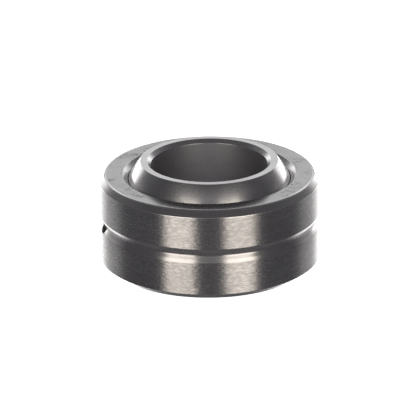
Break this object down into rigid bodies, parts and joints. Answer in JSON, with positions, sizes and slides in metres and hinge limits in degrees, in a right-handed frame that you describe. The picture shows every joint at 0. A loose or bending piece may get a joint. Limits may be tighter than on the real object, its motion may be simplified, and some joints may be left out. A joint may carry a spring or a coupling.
{
  "type": "spherical plain bearing",
  "caption": "Spherical plain bearing: a ball with a shaft bore, wider than its race, tilts in a one-piece outer race with a V-shaped lubrication groove.",
  "frame": {"origin": "the centre of the ball's sphere, on the bore axis at mid width", "axes": "+Z along the bore axis and up, X through the lubrication holes, which is also the tilt axis, and Y across them"},
  "size_m": [0.038, 0.038, 0.0204],
  "materials": {
    "race_steel": "hardened steel, ground round the outside and turned on the faces",
    "ball_steel": "hardened steel, fine ground and polished on the sphere"
  },
  "bodies": {
    "race": {"outer_race": "race_steel"},
    "ball": {"ball": "ball_steel"}
  },
  "joints": [
    {"name": "ball_tilt", "type": "hinge", "parent": "race", "child": "ball", "pos_m": [0, 0, 0], "axis": [1, 0, 0], "range_deg": [-10, 10]}
  ]
}
